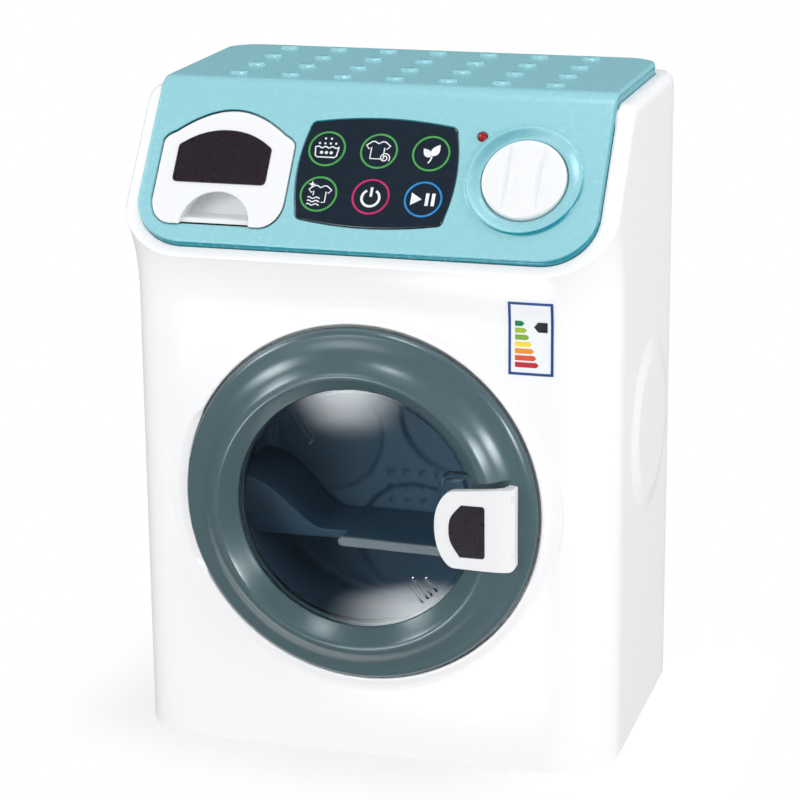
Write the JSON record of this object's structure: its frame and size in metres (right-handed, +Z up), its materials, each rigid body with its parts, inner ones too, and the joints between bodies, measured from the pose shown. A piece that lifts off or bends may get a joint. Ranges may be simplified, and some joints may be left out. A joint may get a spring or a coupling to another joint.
{
  "type": "toy washing machine",
  "caption": "Toy front-loading washing machine with a slanted control panel, detergent drawer, selector knob, opening round door and a motor-driven drum.",
  "frame": {"origin": "middle of the casing's flat underside, half way between the front face and the back", "axes": "+Z up, +Y from the front to the back so the door faces -Y, +X to the right seen from the front"},
  "size_m": [0.1824, 0.134, 0.2429],
  "materials": {
    "white_casing": "semi-gloss ABS",
    "aqua_panel": "semi-gloss ABS",
    "white_trim": "semi-gloss ABS",
    "slate_door": "semi-gloss ABS",
    "clear_window": "clear polished polystyrene",
    "slate_drum": "satin ABS",
    "black_overlay": "polished sheet",
    "plum_sticker": "satin film",
    "printed_sticker": "printed film",
    "red_lamp": "clear red lens",
    "circuit": "satin laminate",
    "grey_moulding": "satin",
    "acetal_gear": "satin acetal",
    "brass": "turned",
    "steel": "ground",
    "motor_can": "plated",
    "screw_steel": "nickel plated",
    "battery_jacket": "printed jacket"
  },
  "bodies": {
    "casing": {"front_shell": "white_casing", "rear_cover": "white_casing", "battery_cover": "white_casing", "control_panel": "aqua_panel", "drawer_housing": "white_trim", "gear_plate": "white_trim", "motor_bracket": "white_trim", "tub": "slate_drum", "symbol_overlay": "black_overlay", "energy_label": "printed_sticker", "indicator_lamp": "red_lamp", "circuit_board": "circuit", "touch_board": "circuit", "rotary_switch": "grey_moulding", "loudspeaker": "grey_moulding", "front_axle_bush": "brass", "rear_axle_bush": "brass", "idler_pin": "steel", "reduction_pin": "steel", "hinge_pin": "steel", "battery_contact_1": "steel", "battery_contact_2": "steel", "battery_contact_3": "steel", "battery_contact_4": "steel", "drum_motor": "motor_can", "casing_screw_1": "screw_steel", "casing_screw_2": "screw_steel", "casing_screw_3": "screw_steel", "casing_screw_4": "screw_steel", "casing_screw_5": "screw_steel", "casing_screw_6": "screw_steel", "battery_screw": "screw_steel", "board_screw_1": "screw_steel", "board_screw_2": "screw_steel", "battery_1": "battery_jacket", "battery_2": "battery_jacket", "battery_3": "battery_jacket"},
    "door": {"door_ring": "slate_door", "door_window": "clear_window", "door_back_ring": "slate_door", "door_handle": "white_trim", "handle_label": "plum_sticker", "door_screw_1": "screw_steel", "door_screw_2": "screw_steel", "door_screw_3": "screw_steel", "door_screw_4": "screw_steel", "door_screw_5": "screw_steel"},
    "drawer": {"drawer_front": "white_trim", "drawer_tray": "white_trim", "drawer_label": "plum_sticker"},
    "knob": {"selector_knob": "white_trim", "switch_shaft": "acetal_gear"},
    "drum_assembly": {"drum": "slate_drum", "drum_paddle": "slate_drum", "drum_axle": "steel", "drum_gear": "acetal_gear"},
    "idler": {"idler_gear": "acetal_gear"},
    "reduction": {"reduction_gear": "acetal_gear"},
    "motor_rotor": {"motor_pinion": "brass", "motor_shaft": "steel"}
  },
  "joints": [
    {"name": "door_swing", "type": "hinge", "parent": "casing", "child": "door", "pos_m": [-0.061, -0.0604, 0.097], "axis": [0, 0, -1], "range_deg": [0, 105]},
    {"name": "drawer_slide", "type": "slide", "parent": "casing", "child": "drawer", "axis": [0, -1, 0], "range_m": [0, 0.042]},
    {"name": "knob_turn", "type": "hinge", "parent": "casing", "child": "knob", "pos_m": [0.056, -0.04475, 0.21443], "axis": [0, -0.7934, 0.6088], "continuous": true},
    {"name": "drum_spin", "type": "hinge", "parent": "casing", "child": "drum_assembly", "pos_m": [0, 0, 0.097], "axis": [0, 1, 0], "continuous": true},
    {"name": "idler_spin", "type": "hinge", "parent": "casing", "child": "idler", "pos_m": [-0.02598, 0, 0.112], "axis": [0, 1, 0], "continuous": true},
    {"name": "reduction_spin", "type": "hinge", "parent": "casing", "child": "reduction", "pos_m": [-0.01398, 0, 0.13278], "axis": [0, 1, 0], "continuous": true},
    {"name": "motor_spin", "type": "hinge", "parent": "casing", "child": "motor_rotor", "pos_m": [0.00902, 0, 0.13278], "axis": [0, 1, 0], "continuous": true}
  ],
  "couplings": [
    {"joint": "idler_spin", "follows": "drum_spin", "ratio": -4},
    {"joint": "reduction_spin", "follows": "drum_spin", "ratio": 12},
    {"joint": "motor_spin", "follows": "drum_spin", "ratio": -43.2}
  ]
}
